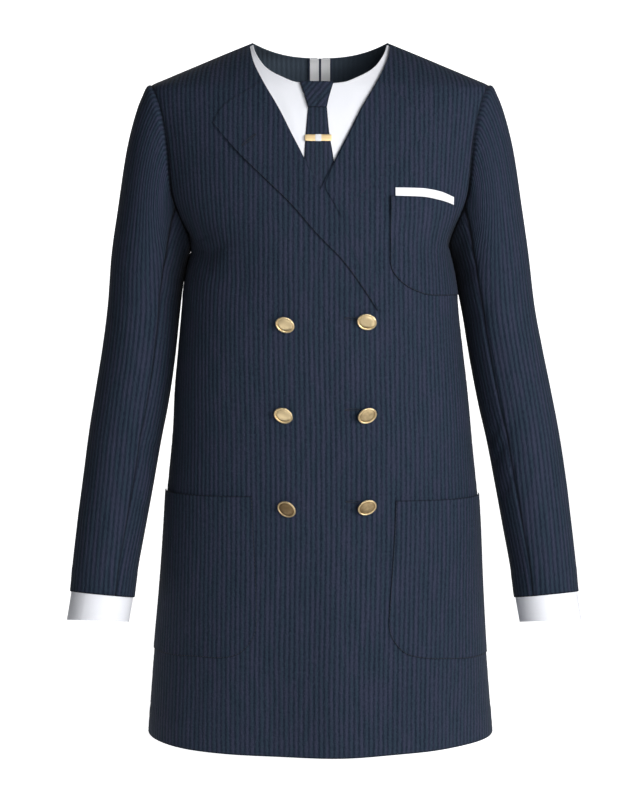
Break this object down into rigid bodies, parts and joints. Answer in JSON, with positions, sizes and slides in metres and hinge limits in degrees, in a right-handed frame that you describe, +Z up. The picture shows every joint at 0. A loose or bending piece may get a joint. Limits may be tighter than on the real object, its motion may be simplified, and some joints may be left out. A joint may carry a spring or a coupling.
{
  "type": "blazer dress",
  "caption": "Hollow long-sleeved mini dress that looks like a double-breasted blazer over a shirt front and tie, filled out as if worn.",
  "frame": {"origin": "between the two highest points of the shoulder seams, where the wearer's shoulders carry the dress", "axes": "+Z up along the body, the front faces -Y, +X towards the viewer's right when looking at the front"},
  "size_m": [0.6022, 0.2648, 0.8116],
  "materials": {
    "seersucker": "navy seersucker with fine vertical stripes",
    "shirting": "white plain-woven cotton",
    "tie_cloth": "navy seersucker",
    "woven_tape": "ribbed woven tape, white with a navy centre line",
    "zip_cloth": "navy zip tape",
    "zip_metal": "navy enamelled slider and pull",
    "gilt": "gilt, brushed dome in a rope rim"
  },
  "bodies": {
    "garment": {"front": "seersucker", "back_left": "seersucker", "back_right": "seersucker", "bib": "shirting", "tie_knot": "tie_cloth", "tie_blade": "tie_cloth", "tie_bar": "gilt", "lapel_left": "seersucker", "lapel_right": "seersucker", "breast_pocket": "seersucker", "pocket_square": "shirting", "hip_pocket_left": "seersucker", "hip_pocket_right": "seersucker", "topsleeve_left": "seersucker", "topsleeve_right": "seersucker", "undersleeve_left": "seersucker", "undersleeve_right": "seersucker", "cuff_left": "shirting", "cuff_right": "shirting", "button_top_left": "gilt", "button_top_right": "gilt", "button_middle_left": "gilt", "button_middle_right": "gilt", "button_low_left": "gilt", "button_low_right": "gilt", "zip_tape": "zip_cloth", "neck_tape": "woven_tape", "zip_slider": "zip_metal"},
    "pull": {"zip_pull": "zip_metal"}
  },
  "joints": [
    {"name": "pull_hinge", "type": "hinge", "parent": "garment", "child": "pull", "pos_m": [0, 0.07134, -0.02372], "axis": [1, 0, 0], "range_deg": [0, 150]}
  ]
}
